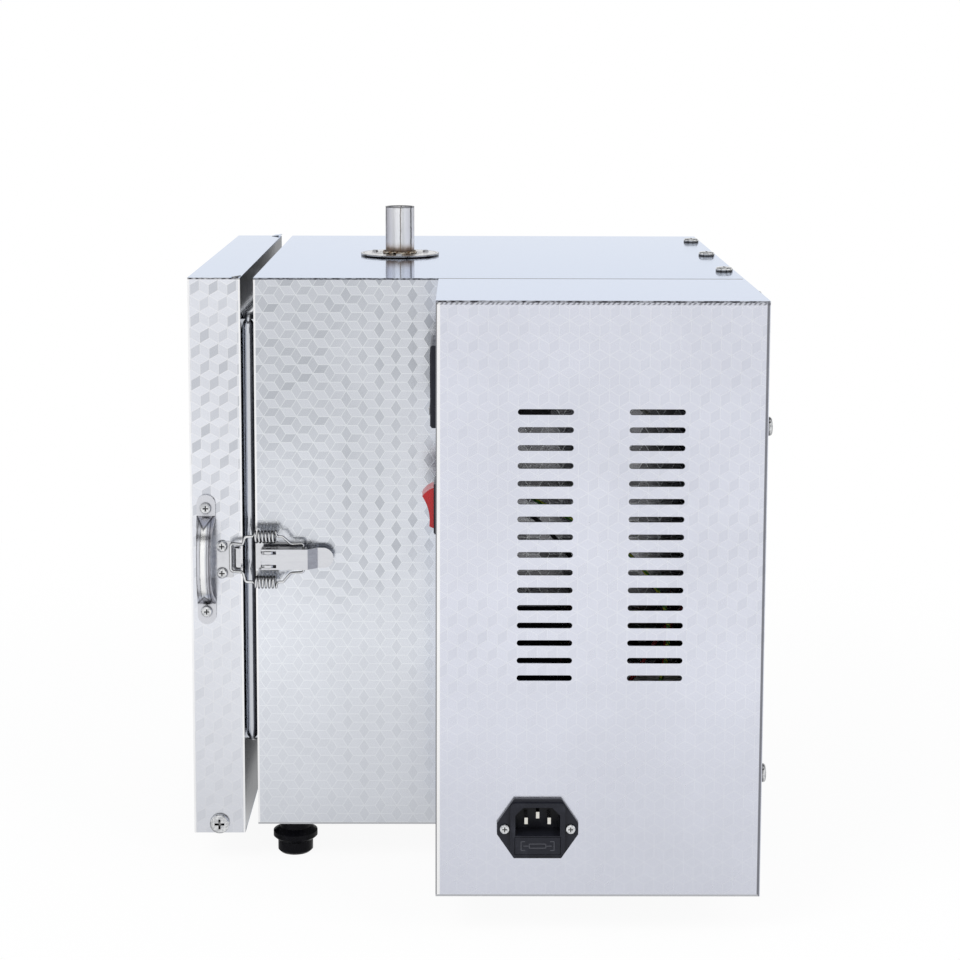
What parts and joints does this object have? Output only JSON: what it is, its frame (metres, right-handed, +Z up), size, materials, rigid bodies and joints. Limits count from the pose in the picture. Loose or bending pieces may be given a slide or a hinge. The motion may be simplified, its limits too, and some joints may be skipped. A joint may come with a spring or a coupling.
{
  "type": "bench burnout furnace",
  "caption": "Small front-loading bench furnace with hinged insulated door, draw latch, exhaust chimney and a side box for the temperature controller, switch and mains inlet.",
  "frame": {"origin": "on the floor, under the middle of the whole furnace's outline", "axes": "-X towards the door, +Y towards the door's hinges, -Y towards the control box's outer side, +Z up"},
  "size_m": [0.3634, 0.4602, 0.428],
  "materials": {
    "embossed_steel": "satin",
    "box_steel": "satin",
    "polished_steel": "polished",
    "plain_steel": "satin",
    "chrome": "polished",
    "spring_steel": "polished",
    "heat_tinted_steel": "satin",
    "ceramic_fibre": "matte",
    "blanket_fibre": "matte",
    "hearth_ceramic": "matte",
    "heating_alloy": "matte",
    "sheath_ceramic": "matte",
    "black_plastic": "satin",
    "gloss_black": "gloss",
    "key_grey": "satin",
    "rocker_red": "gloss",
    "foot_rubber": "satin",
    "brass_pins": "polished",
    "fuse_glass": "gloss",
    "terminal_grey": "satin",
    "earth_insulation": "satin",
    "live_insulation": "satin",
    "black_insulation": "satin",
    "probe_insulation": "satin"
  },
  "bodies": {
    "furnace": {"front_frame": "plain_steel", "right_side_panel": "embossed_steel", "left_side_panel": "embossed_steel", "top_panel": "polished_steel", "rear_panel": "embossed_steel", "floor_pan": "plain_steel", "insulation_blanket": "blanket_fibre", "muffle_chamber": "ceramic_fibre", "hearth_plate": "hearth_ceramic", "heating_elements": "heating_alloy", "thermocouple_sheath": "sheath_ceramic", "thermocouple_head": "black_plastic", "chimney_pipe": "heat_tinted_steel", "chimney_flange": "heat_tinted_steel", "chimney_rivets": "plain_steel", "rear_panel_screws": "chrome", "feet": "foot_rubber", "foot_screws": "chrome", "control_side_panel": "box_steel", "control_top_panel": "polished_steel", "control_floor_panel": "plain_steel", "control_front_panel": "box_steel", "control_back_cover": "box_steel", "control_cover_screws": "chrome", "controller_case": "black_plastic", "controller_window": "gloss_black", "switch_housing": "black_plastic", "inlet_housing": "black_plastic", "inlet_pins": "brass_pins", "inlet_screws": "chrome", "solid_state_relay": "black_plastic", "terminal_block": "terminal_grey", "earth_wire": "earth_insulation", "live_wire": "live_insulation", "black_wires": "black_insulation", "thermocouple_lead": "probe_insulation", "hinge_leaves_body": "chrome", "hinge_pins": "chrome", "hinge_screws_body": "chrome", "latch_base": "chrome", "latch_lever_pin": "chrome"},
    "door": {"door_shell": "embossed_steel", "door_liner": "polished_steel", "door_insulation": "ceramic_fibre", "door_side_screws": "chrome", "door_handle": "chrome", "door_hardware_screws": "chrome", "latch_keeper": "chrome", "hinge_leaves_door": "chrome", "hinge_screws_door": "chrome"},
    "lever": {"latch_lever": "chrome"},
    "bail": {"latch_bail": "chrome", "latch_springs": "spring_steel"},
    "rocker": {"switch_rocker": "rocker_red"},
    "drawer": {"fuse_drawer": "black_plastic", "fuse_link": "fuse_glass"},
    "key_set": {"key_set": "key_grey"},
    "key_shift": {"key_shift": "key_grey"},
    "key_down": {"key_down": "key_grey"},
    "key_up": {"key_up": "key_grey"}
  },
  "joints": [
    {"name": "door_swing", "type": "hinge", "parent": "furnace", "child": "door", "pos_m": [-0.1434, 0.2261, 0.21], "axis": [0, 0, -1], "range_deg": [0, 175]},
    {"name": "latch_lever_swing", "type": "hinge", "parent": "furnace", "child": "lever", "pos_m": [-0.1299, -0.1093, 0.21], "axis": [0, 0, -1], "range_deg": [0, 100]},
    {"name": "latch_bail_swing", "type": "hinge", "parent": "lever", "child": "bail", "pos_m": [-0.1071, -0.1079, 0.21], "axis": [0, 0, 1], "range_deg": [0, 125]},
    {"name": "rocker_tilt", "type": "hinge", "parent": "furnace", "child": "rocker", "pos_m": [-0.0171, -0.1629, 0.257], "axis": [0, 1, 0], "range_deg": [0, 26]},
    {"name": "fuse_drawer_slide", "type": "slide", "parent": "furnace", "child": "drawer", "axis": [0, -1, 0], "range_m": [0, 0.016]},
    {"name": "key_set_press", "type": "slide", "parent": "furnace", "child": "key_set", "axis": [1, 0, 0], "range_m": [0, 0.0006], "stiffness_N_per_m": 200},
    {"name": "key_shift_press", "type": "slide", "parent": "furnace", "child": "key_shift", "axis": [1, 0, 0], "range_m": [0, 0.0006], "stiffness_N_per_m": 200},
    {"name": "key_down_press", "type": "slide", "parent": "furnace", "child": "key_down", "axis": [1, 0, 0], "range_m": [0, 0.0006], "stiffness_N_per_m": 200},
    {"name": "key_up_press", "type": "slide", "parent": "furnace", "child": "key_up", "axis": [1, 0, 0], "range_m": [0, 0.0006], "stiffness_N_per_m": 200}
  ],
  "couplings": [
    {"joint": "latch_bail_swing", "follows": "latch_lever_swing", "ratio": 1.25}
  ]
}
